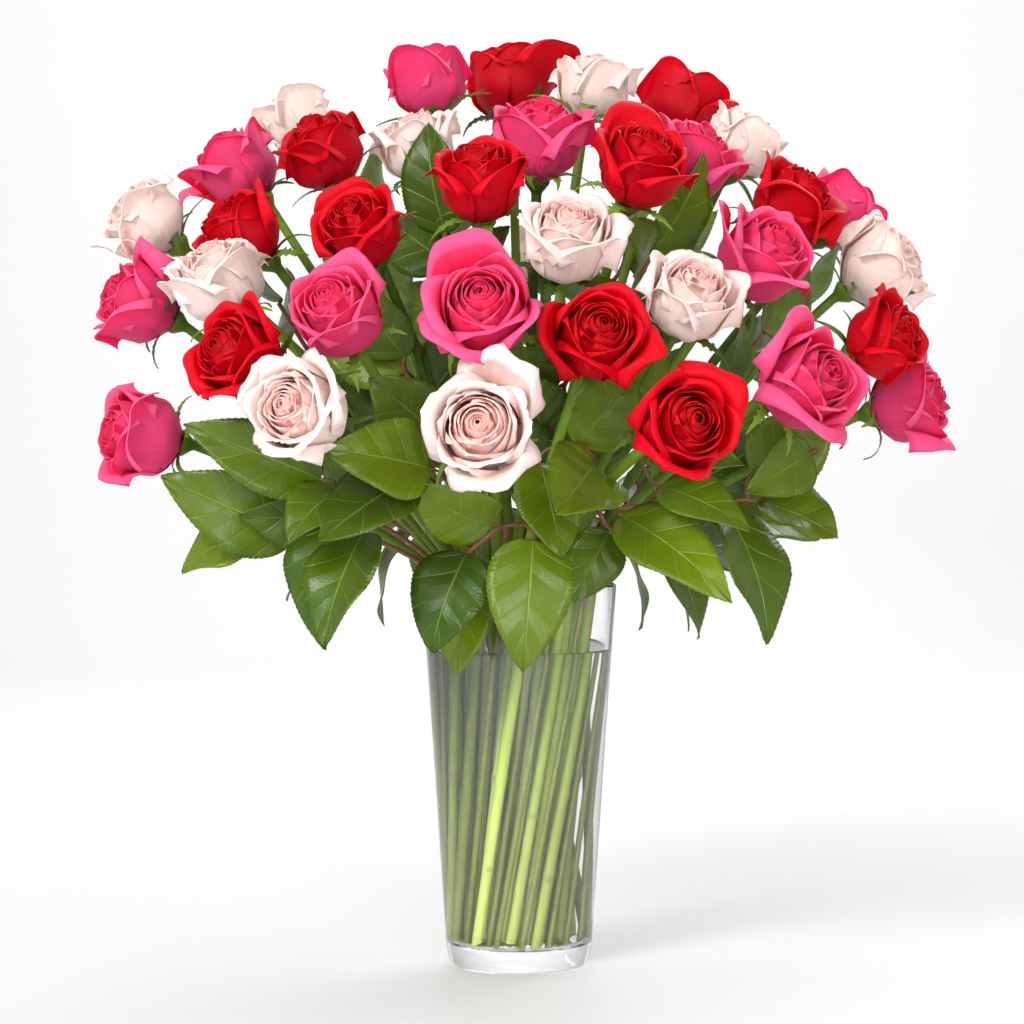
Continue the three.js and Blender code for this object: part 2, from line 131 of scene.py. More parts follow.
def table_top():
    """A floor that turns up in a quarter circle into a wall, as a strip carried along X."""
    half_width, front, back, radius, top = 6.0, -6.0, 2.2, 1.2, 5.0
    bend = np.linspace(0, math.pi / 2, 24)
    y = np.concatenate([[front], back + radius * np.sin(bend), [back + radius]])
    z = np.concatenate([[0], radius - radius * np.cos(bend), [top]])
    x = np.array([-half_width, half_width])
    points = np.stack([np.repeat(x, len(y)), np.tile(y, 2), np.tile(z, 2)], -1)
    sweep = link_mesh("table", points, grid_faces(2, len(y)))
    pale = bpy.data.materials.new("pale_table")
    pale.use_nodes = True
    shader = pale.node_tree.nodes["Principled BSDF"]
    shader.inputs["Base Color"].default_value = (0.71, 0.71, 0.715, 1)
    shader.inputs["Roughness"].default_value = 0.55
    sweep.data.materials.append(pale)


table_top()

# ---------------------------------------------------------------------------------------------
# The vase: pressed clear glass, 3 mm in the wall, with a thick foot and a fire-rounded rim. It
# stands on the flat ring and disc of its foot. A profile is turned about the vase's own axis.
# ---------------------------------------------------------------------------------------------

TURNED_STEPS = 160
CORNER_STEPS = 7  # points on each rounded corner of a profile


def node_mesh(name):
    """A CAD node's points, each once, and its triangles by point."""
    mesh = frame["nodes"][name].data
    points = np.empty(len(mesh.vertices) * 3)
    mesh.vertices.foreach_get("co", points)
    corners = np.empty(len(mesh.loops), int)
    mesh.loops.foreach_get("vertex_index", corners)
    points = points.reshape(-1, 3)
    places = np.round(points * 1e5).astype(int)
    _, first, same = np.unique(places, axis=0, return_index=True, return_inverse=True)
    return points[first], same.reshape(-1)[corners].reshape(-1, 3)


def turned(name, profile):
    """A closed solid of revolution about Z: profile is (radius, height) from axis to axis."""
    angle = np.linspace(0, 2 * math.pi, TURNED_STEPS, endpoint=False)[:, None]
    rings = profile[1:-1]
    r, z = rings[None, :, 0], rings[None, :, 1]
    skin = np.stack(np.broadcast_arrays(r * np.cos(angle), r * np.sin(angle), z), -1)
    count = len(rings)
    poles = np.array([[0, 0, profile[0, 1]], [0, 0, profile[-1, 1]]])
    pole = np.full(TURNED_STEPS, TURNED_STEPS * count)
    here = np.arange(TURNED_STEPS) * count
    beside = np.roll(here, -1)
    lower = np.stack([pole, beside, here], -1)
    upper = np.stack([pole + 1, here + count - 1, beside + count - 1], -1)
    points = np.concatenate([skin.reshape(-1, 3), poles])
    return link_mesh(name, points, grid_faces(TURNED_STEPS, count, wrap=True), lower, upper)


def rounded(corners, radii):
    """Corners of an outline, each replaced by a quadratic curve that leaves and meets the outline
    at the given distance from the corner."""
    corners = np.array(corners, float)
    before = corners[:-2] - corners[1:-1]
    after = corners[2:] - corners[1:-1]
    reach = np.array(radii)[:, None]
    start = corners[1:-1] + before / np.linalg.norm(before, axis=1)[:, None] * reach
    end = corners[1:-1] + after / np.linalg.norm(after, axis=1)[:, None] * reach
    t = np.linspace(0, 1, CORNER_STEPS)[None, :, None]
    curves = (1 - t) ** 2 * start[:, None] + 2 * t * (1 - t) * corners[1:-1, None] + t**2 * end[:, None]
    return np.concatenate([corners[:1], curves.reshape(-1, 2), corners[-1:]])


vase_points, _ = node_mesh("vase")
vase_reach = np.hypot(vase_points[:, 0], vase_points[:, 1])
RIM_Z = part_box("vase")[1].z
RIM_R = vase_reach.max()
FOOT_R = vase_reach[vase_points[:, 2] < 7 * MM].max()
FLOOR_Z = np.sort(vase_points[vase_reach < 1e-4, 2])[-1]
WALL = 3 * MM


def outer_radius(z):
    """The vase's outside tapers in a straight line from rim to foot."""
    return FOOT_R + (RIM_R - FOOT_R) * z / RIM_Z


vase_profile = rounded(
    [
        (0, 2.2 * MM),
        (24 * MM, 2.2 * MM),
        (29 * MM, 0),
        (FOOT_R - 1.5 * MM, 0),
        (outer_radius(9 * MM), 9 * MM),
        (RIM_R, RIM_Z),
        (RIM_R - WALL, RIM_Z),
        (outer_radius(FLOOR_Z) - WALL - 0.5 * MM, FLOOR_Z),
        (0, FLOOR_Z - 1 * MM),
    ],
    [4 * MM, 3 * MM, 3.5 * MM, 5 * MM, 1.45 * MM, 1.45 * MM, 13 * MM],
)
vase = turned("vase_glass", vase_profile)


def new_material(name):
    """A node material, its tree and its Principled shader."""
    material = bpy.data.materials.new(name)
    material.use_nodes = True
    tree = material.node_tree
    return material, tree, tree.nodes["Principled BSDF"]


def set_inputs(node, values):
    """Sets the node's sockets, by name or number."""
    for socket, value in values.items():
        node.inputs[socket].default_value = value


def add(tree, kind, values=None, **settings):
    """A new node of the tree, with values on its sockets and settings on itself."""
    node = tree.nodes.new(kind)
    for name, value in settings.items():
        setattr(node, name, value)
    set_inputs(node, values or {})
    return node


def join(tree, *pairs):
    """Links each output to the input that follows it."""
    for output, socket in zip(pairs[::2], pairs[1::2]):
        tree.links.new(output, socket)


def glass_material():
    """Clear glass with faint waviness, thin enough in colour to stay white. Lamps shine through it."""
    material, tree, shader = new_material("clear_glass")
    set_inputs(
        shader,
        {
            "Base Color": (0.985, 0.995, 0.99, 1),
            "Roughness": 0.0,
            "IOR": 1.5,
            "Transmission Weight": 1.0,
        },
    )
    place = add(tree, "ShaderNodeTexCoord")
    waves = add(tree, "ShaderNodeTexNoise", {"Scale": 24.0, "Detail": 1.0})
    bump = add(tree, "ShaderNodeBump", {"Strength": 0.05, "Distance": 0.0006})
    ray = add(tree, "ShaderNodeLightPath")
    solid = add(tree, "ShaderNodeMapRange", {"To Min": 1.0, "To Max": 0.12})
    join(
        tree,
        ray.outputs["Is Shadow Ray"], solid.inputs["Value"],
        solid.outputs["Result"], shader.inputs["Alpha"],
        place.outputs["Object"], waves.inputs["Vector"],
        waves.outputs["Fac"], bump.inputs["Height"],
        bump.outputs["Normal"], shader.inputs["Normal"],
    )
    return material


vase.data.materials.append(glass_material())
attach(vase, "root")
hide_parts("vase")

# ---------------------------------------------------------------------------------------------
# The water: it fills the vase to 4 cm below the rim, and its surface climbs a little where it
# wets the glass.
# ---------------------------------------------------------------------------------------------

WATER_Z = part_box("water")[1].z
WET = 0.3 * MM  # the water reaches this far into the glass, so that no air shows between them
CLIMB = 1.4 * MM  # how high the water's edge stands above its level


def inner_radius(z):
    """The vase's inside wall."""
    return outer_radius(z) - WALL


def water_profile():
    """The corner of the vase's floor, its wall, then the meniscus: its height falls off in an
    exponential curve from the wall."""
    floor = vase_profile[-1 - CORNER_STEPS : -1][::-1] + [WET, -WET]
    wall_z = np.linspace(floor[-1, 1] + 6 * MM, WATER_Z, 12)
    wall = np.stack([inner_radius(wall_z) + WET, wall_z], -1)
    fall = np.linspace(0, 1, 12)[1:] ** 2 * 14 * MM
    rim = wall[-1] + [0, CLIMB]
    meniscus = np.stack([rim[0] - fall, WATER_Z + CLIMB * np.exp(-fall / (2.2 * MM))], -1)
    return np.concatenate([[[0, floor[0, 1]]], floor[1:], wall, [rim], meniscus, [[0, WATER_Z]]])


water = turned("water_fill", water_profile())


def water_material():
    """Clear water, barely green, with a faint ripple. Lamps shine through it."""
    material, tree, shader = new_material("clear_water")
    set_inputs(
        shader,
        {
            "Base Color": (0.975, 0.99, 0.975, 1),
            "Roughness": 0.0,
            "IOR": 1.333,
            "Transmission Weight": 1.0,
        },
    )
    place = add(tree, "ShaderNodeTexCoord")
    ripples = add(tree, "ShaderNodeTexNoise", {"Scale": 30.0, "Detail": 0.0})
    bump = add(tree, "ShaderNodeBump", {"Strength": 0.03, "Distance": 0.0005})
    ray = add(tree, "ShaderNodeLightPath")
    solid = add(tree, "ShaderNodeMapRange", {"To Min": 1.0, "To Max": 0.05})
    join(
        tree,
        ray.outputs["Is Shadow Ray"], solid.inputs["Value"],
        solid.outputs["Result"], shader.inputs["Alpha"],
        place.outputs["Object"], ripples.inputs["Vector"],
        ripples.outputs["Fac"], bump.inputs["Height"],
        bump.outputs["Normal"], shader.inputs["Normal"],
    )
    return material


water.data.materials.append(water_material())
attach(water, "root")
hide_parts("water")

# ---------------------------------------------------------------------------------------------
# The roses' blooms. A cut rose opens from a tight spiral bud: some two dozen petals stand round
# it in a spiral, each cupped below and rolled outwards at its lip, the outermost turned back to a
# point. Every bloom is its own drawing of the same growth.
# ---------------------------------------------------------------------------------------------

GOLDEN_ANGLE = math.pi * (3 - math.sqrt(5))
PETAL_ACROSS = 17
PETAL_ALONG = 15
LIP_ALONG = 7  # of the points along a petal, those on its lip
PETAL_THICK = 0.3 * MM
FOOT_REACH = 7.5 * MM  # a stem's first ring is within this of its lowest point, and its next ring isn't


def rings_of(name):
    """A CAD rose's rings from the foot up, as centres and radii. All points of a ring are the same
    number of edges from the foot."""
    points, triangles = node_mesh(name)
    edges = triangles[:, [0, 1, 1, 2, 2, 0]].reshape(-1, 2)
    edges = np.concatenate([edges, edges[:, ::-1]])
    foot = points[points[:, 2].argmin()]
    layer = np.linalg.norm(points - foot, axis=1) < FOOT_REACH
    done = layer.copy()
    centres, radii = [], []
    while layer.sum() > 1:
        centre = points[layer].mean(0)
        centres.append(centre)
        radii.append(np.linalg.norm(points[layer] - centre, axis=1).max())
        touched = np.zeros(len(points), bool)
        touched[edges[layer[edges[:, 0]], 1]] = True
        layer = touched & ~done
        done |= layer
    return np.array(centres), np.array(radii)


def unit(vectors):
    """The vectors at length 1."""
    return vectors / np.linalg.norm(vectors, axis=-1, keepdims=True)


def sheet(grid, thickness):
    """Closed thin shells round grids of points (count, across, along, 3): each point goes half the
    thickness out along the surface's normal, and back the other way, and a rim joins the two sides.
    Gives the points, the quads, and for each point 1 on the outer side or 0."""
    count, across, along, _ = grid.shape
    du = np.gradient(grid, axis=1)
    dv = np.gradient(grid, axis=2)
    normal = unit(np.cross(du, dv) + 1e-12)
    half = normal * np.broadcast_to(thickness, (count, across, along))[..., None] / 2
    points = np.stack([grid + half, grid - half], 1)
    outer = grid_faces(across, along).reshape(-1, 4)
    each = across * along
    inner = outer[:, ::-1] + each
    i, j = np.arange(across), np.arange(along)
    near_side, far_side = j[-2:0:-1], (across - 1) * along + j[1:]
    edge = np.concatenate([i * along, far_side, i[-2::-1] * along + along - 1, near_side])
    ahead = np.roll(edge, -1)
    rim = np.stack([edge, edge + each, ahead + each, ahead], -1)
    faces = np.concatenate([outer, inner, rim])
    faces = faces[None] + (np.arange(count) * 2 * each)[:, None, None]
    side = np.broadcast_to(np.array([1.0, 0.0])[None, :, None, None], points.shape[:-1])
    return points, faces, side


def store_tone(mesh, tone):
    """Stores three values a point as the mesh's colour attribute."""
    colours = mesh.color_attributes.new("tone", "FLOAT_COLOR", "POINT")
    four = np.concatenate([tone.reshape(-1, 3), np.ones((len(mesh.vertices), 1))], 1)
    colours.data.foreach_set("color", four.astype(np.float32).ravel())


def paint(piece, uv, tone):
    """Stores each point's place on its blade as the UV map, and its tone."""
    mesh = piece.data
    corners = np.empty(len(mesh.loops), int)
    mesh.loops.foreach_get("vertex_index", corners)
    layer = mesh.uv_layers.new(name="blade")
    layer.data.foreach_set("uv", uv.reshape(-1, 2)[corners].astype(np.float32).ravel())
    store_tone(mesh, tone)


def shell_piece(name, grids, thickness, material, slot, node):
    """A piece of thin shells round the grids, in place of the CAD node. Each point is painted with its
    place on the blade and with its side, chance and age."""
    grid, uv, tone = grids
    points, faces, side = sheet(grid, thickness)
    piece = link_mesh(name, points, faces)
    tone = np.broadcast_to(tone[:, None], points.shape).copy()
    tone[..., 0] = side
    paint(piece, np.broadcast_to(uv[:, None], points.shape[:-1] + (2,)), tone)
    piece.data.materials.append(material)
    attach(piece, "root")
    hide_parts(node)


def drawn_evenly(chance, count):
    """A function that draws, for each of count grids, one number between two limits."""
    return lambda low, high: chance.uniform(low, high, (count, 1, 1))


def petal_grids(radius, height, habit, chance):
    """The petals of one bloom, in metres, about +Z from its neck. Petal k of n has a body and a lip.
    Body: height grows evenly up to the edge, radius swells from the base to the bulge in a sine, then
    closes, or on the outer petals opens, to the edge in a power. Lip: an arc that leaves the edge
    upwards and turns outwards and down, slight on the inner petals and broad on the loose outer ones.
    Across, the petal spans an angle about the axis that keeps its real width, its edge falls away to
    the sides, and one side lies further out than the other, so that petals tuck under each other.
    Sines ruffle the edge."""
    n = habit["petals"]
    k = np.linspace(0, 1, n)[:, None, None]
    u = np.linspace(-1, 1, PETAL_ACROSS)[None, :, None]
    body = np.linspace(0, 1, PETAL_ALONG - LIP_ALONG)[None, None]
    lip = np.linspace(0, 1, LIP_ALONG + 1)[None, None, 1:]
    any_of = drawn_evenly(chance, n)

    def draw(spread):
        """One normal draw a petal."""
        return chance.normal(0, spread, (n, 1, 1))

    loose = np.clip((k - 0.6) / 0.4, 0, 1) * any_of(0.55, 1)
    base_z = height * 0.17
    bulge_z = height * 0.45
    bulge = radius * (0.3 + (habit["body"] - 0.26) * k**0.9) * (1 + draw(0.012))
    reach = radius * (0.035 + habit["body"] * k**1.1) * (1 + draw(0.02))
    edge_z = height * (0.97 + 0.02 * np.sin(math.pi * k**0.7) - habit["step"] * k**2 + draw(0.014))
    fall = (0.1 + 0.2 * k) * (1 + draw(0.2))
    wave = habit["ruffle"] * radius * (0.25 + k)
    ripple = np.sin(any_of(1.2, 2.6) * math.pi * u + any_of(0, 6.3))
    fine = np.sin(any_of(5, 8) * math.pi * u + any_of(0, 6.3))
    coarse = np.sin(any_of(2, 4) * u + any_of(0, 6.3))
    crinkle = fine * coarse
    slope = draw(0.035) * k * u
    top = edge_z - height * (fall * np.abs(u) ** 2.6 - slope) + 0.7 * wave * ripple

    z = base_z + (top - base_z) * body
    swell = np.sin(math.pi / 2 * np.clip((z - base_z) / (bulge_z - base_z), 0, 1))
    over = np.clip((z - bulge_z) / (edge_z - bulge_z), 0, None)
    flare = habit["flare"] * any_of(0, 1) ** 2 * np.clip((k - 0.78) / 0.22, 0, 1)
    edge = reach * (1 + habit["open"] * k + flare) + radius * draw(0.012)
    root = (0.06 + 0.14 * k) * radius
    r = root + (bulge - root) * swell + (edge - bulge) * over**1.5

    roll = radius * (0.012 + 0.035 * k + habit["curl"] * loose**1.3 * any_of(0.6, 1.2))
    point = 1 + habit["point"] * loose * any_of(0, 1) * np.exp(-((u / 0.28) ** 2))
    turn = np.radians(22 + 38 * k + habit["turn"] * loose + draw(12)) * (0.8 + 0.4 * np.abs(u) ** 1.5)
    angle = turn * lip
    r_lip = r[:, :, -1:] + roll * point * (1 - np.cos(angle)) + roll * 0.2 * point * lip
    z_lip = z[:, :, -1:] + roll * np.sin(angle)
    r = np.concatenate([r, r_lip], 2)
    z = np.concatenate([z, z_lip], 2)
    along = np.concatenate([0.75 * body, 0.75 + 0.25 * lip], 2) + np.zeros((n, PETAL_ACROSS, 1))

    tuck = (0.9 - 0.3 * k) * MM
    ruffle = wave * (ripple * along**3 + habit["crinkle"] * crinkle * along**8)
    r = r + tuck * u + ruffle
    z = z + 0.5 * ruffle
    r = r + radius * 0.08 * k**2 * np.abs(u) ** 4 * along
    half_width = radius * (0.62 + 0.16 * k) * (1 + draw(0.1))
    span = np.minimum(3.7 - 1.2 * k, half_width / (0.3 * bulge + 0.7 * reach))
    narrow = 0.6 + 0.4 * np.sin(math.pi / 2 * np.clip(along / 0.5, 0, 1))
    narrow = narrow * (1 - 0.3 * np.clip((along - 0.7) / 0.3, 0, 1) ** 1.5)
    azimuth = np.cumsum(GOLDEN_ANGLE + draw(0.2), 0) + u * span * narrow
    grid = np.stack([r * np.cos(azimuth), r * np.sin(azimuth), z], -1)
    uv = np.stack(np.broadcast_arrays((u + 1) / 2, along), -1)
    tone = np.stack(np.broadcast_arrays(np.zeros_like(along), any_of(0, 1), k), -1)
    return grid, uv, tone


def lean_frame(axis, spin):
    """Two directions square to the axis, turned about it by spin, and the axis."""
    side = unit(np.cross(axis, [0.3, 0.9, -0.2]))
    other = np.cross(axis, side)
    turned_side = math.cos(spin) * side + math.sin(spin) * other
    turned_other = -math.sin(spin) * side + math.cos(spin) * other
    return np.array([turned_side, turned_other, axis])


def bloom(name, material, slot, habit):
    """One rose's petals, in the place and size of its CAD bloom. Gives its stem's measures and its own
    chance for the stem's section."""
    centres, radii = rings_of(name)
    neck = np.nonzero(radii < radii[0] * 1.3)[0][-1]
    axis = unit(centres[-1] - centres[neck])
    radius = radii.max()
    height = np.linalg.norm(centres[neck:] - centres[neck], axis=1).max()
    chance = np.random.default_rng(abs(int(1e6 * centres[neck][0])) + 17)
    grid, uv, tone = petal_grids(radius, height, habit, chance)
    placed = grid @ lean_frame(axis, chance.uniform(0, 2 * math.pi)) + centres[neck]
    shell_piece(name + "_petals", (placed, uv, tone), PETAL_THICK, material, slot, name)
    return centres, radii, neck, axis, chance


HABITS = {
    "red_petals": dict(
        petals=26, body=0.7, step=0.19, open=0.12, flare=0.55, curl=0.15, turn=75, point=1.1,
        ruffle=0.02, crinkle=0.15,
    ),
    "hot_pink_petals": dict(
        petals=24, body=0.7, step=0.18, open=0.15, flare=0.6, curl=0.17, turn=75, point=1.2,
        ruffle=0.025, crinkle=0.15,
    ),
    "pale_pink_petals": dict(
        petals=30, body=0.72, step=0.16, open=0.1, flare=0.3, curl=0.13, turn=80, point=0.9,
        ruffle=0.03, crinkle=0.6,
    ),
}
# The colours of an inner petal's foot and lip, an outer petal's foot and lip, and the backs. The feet, the
# inner petals' most, are darker than the lips: painted shade deep in the bloom.
PETAL_COLOURS = {
    "red_petals": (
        (0.26, 0, 0.001), (0.56, 0, 0.005), (0.45, 0, 0.004), (0.64, 0, 0.01), (0.5, 0, 0.008),
    ),
    "hot_pink_petals": (
        (0.6, 0, 0.012), (0.9, 0.035, 0.12), (0.8, 0.008, 0.05), (0.92, 0.085, 0.22), (0.82, 0.04, 0.14),
    ),
    "pale_pink_petals": (
        (0.95, 0.42, 0.35), (0.95, 0.57, 0.52), (0.94, 0.64, 0.55), (0.94, 0.72, 0.69), (0.93, 0.72, 0.64),
    ),
}
# The weight of the velvet's sheen, and of the light that glows through.
PETAL_SKIN = {
    "red_petals": dict(sheen=0.12, glow=0.4),
    "hot_pink_petals": dict(sheen=0.08, glow=0.5),
    "pale_pink_petals": dict(sheen=0.05, glow=0.35),
}


def petal_material(slot, colours, sheen, glow):
    """Petal skin: colour runs from foot to lip and from the inner petals to the outer, the darker feet of
    the inner petals being painted shade deep in the bloom; backs are their own colour, and fine veins fan
    along it. Velvet shows as sheen."""
    material, tree, shader = new_material(slot)
    place = add(tree, "ShaderNodeUVMap", uv_map="blade")
    tone = add(tree, "ShaderNodeAttribute", attribute_name="tone")
    parts = add(tree, "ShaderNodeSeparateColor")
    where = add(tree, "ShaderNodeSeparateXYZ")
    inner_foot, inner_lip, outer_foot, outer_lip, back = colours
    # painted shade: the lower part of each petal, the inner petals' most, takes the darker foot colours
    rise = add(tree, "ShaderNodeMapRange", {"From Min": 0.45}, interpolation_type="SMOOTHSTEP")
    age = add(
        tree, "ShaderNodeMapRange", {"From Min": 0.15, "From Max": 0.95}, interpolation_type="SMOOTHSTEP"
    )
    inner = add(tree, "ShaderNodeMix", data_type="RGBA")
    outer = add(tree, "ShaderNodeMix", data_type="RGBA")
    front = add(tree, "ShaderNodeMix", data_type="RGBA")
    sides = add(tree, "ShaderNodeMix", data_type="RGBA")
    inner.inputs["A"].default_value = (*inner_foot, 1)
    inner.inputs["B"].default_value = (*inner_lip, 1)
    outer.inputs["A"].default_value = (*outer_foot, 1)
    outer.inputs["B"].default_value = (*outer_lip, 1)
    sides.inputs["B"].default_value = (*back, 1)
    backs = add(tree, "ShaderNodeMath", operation="MULTIPLY")
    stretch = add(tree, "ShaderNodeVectorMath", operation="MULTIPLY")
    stretch.inputs[1].default_value = (34, 2.2, 1)
    veins = add(tree, "ShaderNodeTexNoise", {"Scale": 1.0, "Detail": 3.0}, noise_dimensions="2D")
    light = add(tree, "ShaderNodeMapRange", {"To Min": 0.88, "To Max": 1.08})
    drift = add(tree, "ShaderNodeMapRange", {"To Min": 0.9, "To Max": 1.06})
    shades = add(tree, "ShaderNodeMath", operation="MULTIPLY")
    tint = add(tree, "ShaderNodeVectorMath", operation="SCALE")
    bump = add(tree, "ShaderNodeBump", {"Strength": 0.25, "Distance": 0.0003})
    join(
        tree,
        tone.outputs["Color"], parts.inputs["Color"],
        place.outputs["UV"], where.inputs["Vector"],
        where.outputs["Y"], rise.inputs["Value"],
        parts.outputs["Blue"], age.inputs["Value"],
        rise.outputs["Result"], inner.inputs["Factor"],
        rise.outputs["Result"], outer.inputs["Factor"],
        age.outputs["Result"], front.inputs["Factor"],
        inner.outputs["Result"], front.inputs["A"],
        outer.outputs["Result"], front.inputs["B"],
        parts.outputs["Red"], backs.inputs[0],
        age.outputs["Result"], backs.inputs[1],
        front.outputs["Result"], sides.inputs["A"],
        backs.outputs["Value"], sides.inputs["Factor"],
        place.outputs["UV"], stretch.inputs[0],
        stretch.outputs["Vector"], veins.inputs["Vector"],
        veins.outputs["Fac"], light.inputs["Value"],
        parts.outputs["Green"], drift.inputs["Value"],
        light.outputs["Result"], shades.inputs[0],
        drift.outputs["Result"], shades.inputs[1],
        sides.outputs["Result"], tint.inputs["Vector"],
        shades.outputs["Value"], tint.inputs["Scale"],
        tint.outputs["Vector"], shader.inputs["Base Color"],
        veins.outputs["Fac"], bump.inputs["Height"],
        bump.outputs["Normal"], shader.inputs["Normal"],
    )
    set_inputs(
        shader,
        {
            "Roughness": 0.55,
            "Specular IOR Level": 0.12,
            "Subsurface Weight": glow,
            "Subsurface Radius": outer_lip,
            "Subsurface Scale": 6 * MM,
            "Sheen Weight": sheen,
            "Sheen Roughness": 0.45,
            "Sheen Tint": (*outer_lip, 1),
        },
    )
    return material


slot_of = {part["node"]: part["material_slot"] for part in frame["record"]["subparts"]}
roses = sorted(name for name, slot in slot_of.items() if slot in HABITS)
petal_materials = {
    slot: petal_material(slot, PETAL_COLOURS[slot], **PETAL_SKIN[slot]) for slot in HABITS
}
grown = {}
for name in roses:
    slot = slot_of[name]
    grown[name] = bloom(name, petal_materials[slot], slot, HABITS[slot])

# ---------------------------------------------------------------------------------------------
# The roses' stems, hips and sepals. A stem is a smooth green rod about 6 mm thick, swollen where
# its leaves were stripped off, with a few thorns left, cut on the slant at the foot. At the top it
# swells into the hip, round which five narrow green sepals bend away from the bloom.
# ---------------------------------------------------------------------------------------------

STEM_STEP = 2.6 * MM
STEM_SIDES = 12
# The hip's outline: millimetres above the neck, and the stem's radius taken that many times.
HIP = ((0, 1), (2.2, 1.12), (4.5, 1.7), (7.5, 2.45), (10, 2.5), (11.6, 1.9), (12.6, 0.9))
HIP_STEPS = 13
NODE_RISE = 0.3  # how far a stripped leaf's scar stands out, as a share of the stem's radius
SEPALS = 5
SEPAL_ALONG = 22
THORN_SIDES = 6


def supple(knots, step, reach):
    """A bent line walked in even steps, then smoothed by a running mean over the reach. Both ends stay,
    because the line is continued beyond each by its mirror image through that end."""
    lengths = np.concatenate([[0], np.cumsum(np.linalg.norm(np.diff(knots, axis=0), axis=1))])
    walk = np.linspace(0, lengths[-1], int(lengths[-1] / step) + 2)
    path = np.stack([np.interp(walk, lengths, knots[:, i]) for i in range(3)], -1)
    half = min(int(reach / step / 2), len(path) - 2)
    before = 2 * path[0] - path[half:0:-1]
    beyond = 2 * path[-1] - path[-2 : -half - 2 : -1]
    longer = np.concatenate([before, path, beyond])
    sums = np.cumsum(np.concatenate([np.zeros((1, 3)), longer]), 0)
    return (sums[2 * half + 1 :] - sums[: -2 * half - 1]) / (2 * half + 1)


def tube(path, radius, sides, bumps=0):
    """Points of a closed rod, rings first and then its two end points, and its arrays of faces: at each
    point of the path a circle square to it, of that radius plus bumps (rings, sides)."""
    along = unit(np.gradient(path, axis=0))
    lean = path[-1] - path[0]
    level = unit(np.array([-lean[1], lean[0], 1e-6]))
    side = unit(np.cross(along, level))
    other = np.cross(along, side)
    angle = np.linspace(0, 2 * math.pi, sides, endpoint=False)
    reach = (np.broadcast_to(radius, len(path))[:, None] + bumps)[..., None]
    spoke = np.cos(angle)[None, :, None] * side[:, None] + np.sin(angle)[None, :, None] * other[:, None]
    rings = path[:, None] + reach * spoke
    quads = grid_faces(sides, len(path), wrap=True).reshape(-1, 4)
    i, j = quads // len(path), quads % len(path)
    faces = (j * sides + i)[:, ::-1]
    here = np.arange(sides)
    ahead = np.roll(here, -1)
    last_ring = (len(path) - 1) * sides
    end = np.full(sides, len(path) * sides)
    foot_cap = np.stack([end, here, ahead], -1)
    top_cap = np.stack([end + 1, last_ring + ahead, last_ring + here], -1)
    points = np.concatenate([rings.reshape(-1, 3), path[:1], path[-1:]])
    return points, [faces, np.concatenate([foot_cap, top_cap])]


def rod_tone(rings, sides, *values):
    """The tones of a rod's points, in tube's order, from three values: each is one number, one a ring
    as a column, or one a point."""
    tone = np.stack([np.broadcast_to(value, (rings, sides)) for value in values], -1)
    return np.concatenate([tone.reshape(-1, 3), [tone[0, 0], tone[-1, 0]]])


def merged(parts):
    """Joins parts, each its points, arrays of faces and tone, into one. Faces are numbered on."""
    points, faces, tones, start = [], [], [], 0
    for part_points, part_faces, tone in parts:
        points.append(part_points.reshape(-1, 3))
        faces += [rows + start for rows in part_faces]
        tones.append(np.broadcast_to(tone, points[-1].shape))
        start += len(points[-1])
    return np.concatenate(points), faces, np.concatenate(tones)


def link_parts(name, parts, material, node):
    """One piece of all the parts, with their tones, riding on the object in place of its CAD node."""
    points, faces, tones = merged(parts)
    piece = link_mesh(name, points, *faces)
    store_tone(piece.data, tones)
    piece.data.materials.append(material)
    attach(piece, "root")
    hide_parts(node)


def stem_part(centres, radii, neck, axis, chance):
    """The rod and hip, as one closed skin. Tone: share of the way up, chance, and how much of a scar.
    Gives also its path, the way walked along it, where the hip starts on that, and its radius."""
    stem_radius = radii[1 : neck + 1].mean()
    path = supple(centres[: neck + 1], STEM_STEP, 34 * MM)
    rise = np.linspace(0, HIP[-1][0], HIP_STEPS + 1)[1:] * MM
    path = np.concatenate([path, centres[neck] + rise[:, None] * axis])
    walk = np.arange(len(path)) * STEM_STEP
    end = walk[-HIP_STEPS - 1]
    walk[-HIP_STEPS:] = end + rise
    swell = np.interp(walk - end, [h * MM for h, _ in HIP], [w for _, w in HIP])
    radius = stem_radius * swell * (1 + 0.04 * np.sin(walk / (37 * MM) + chance.uniform(0, 6)))
    radius = radius * (0.93 + 0.14 * chance.uniform())
    nodes = np.cumsum(chance.uniform(34, 62, 14)) * MM
    nodes = nodes[nodes < end - 25 * MM]
    facing = np.arange(len(nodes)) * 2.4 + chance.uniform(0, 6)
    angle = np.linspace(0, 2 * math.pi, STEM_SIDES, endpoint=False)
    near = np.exp(-(((walk[:, None] - nodes) / (2.8 * MM)) ** 2))
    toward = 0.25 + np.clip(np.cos(angle[:, None] - facing), 0, 1) ** 2
    bumps = NODE_RISE * stem_radius * (near[:, None] * toward[None]).sum(-1)
    points, faces = tube(path, radius, STEM_SIDES, bumps)
    slant = points[:STEM_SIDES] - path[0]
    lift = 0.75 * (slant @ unit(np.cross(path[1] - path[0], [chance.normal(), chance.normal(), 0])))
    points[:STEM_SIDES] += np.clip(lift + radius[0] * 0.75, 0, None)[:, None] * unit(path[1] - path[0])
    scar = np.clip(bumps / (NODE_RISE * stem_radius), 0, 1)
    tone = rod_tone(len(path), STEM_SIDES, (walk / walk[-1])[:, None], chance.uniform(), scar)
    return (points, faces, tone), path, walk, end, stem_radius


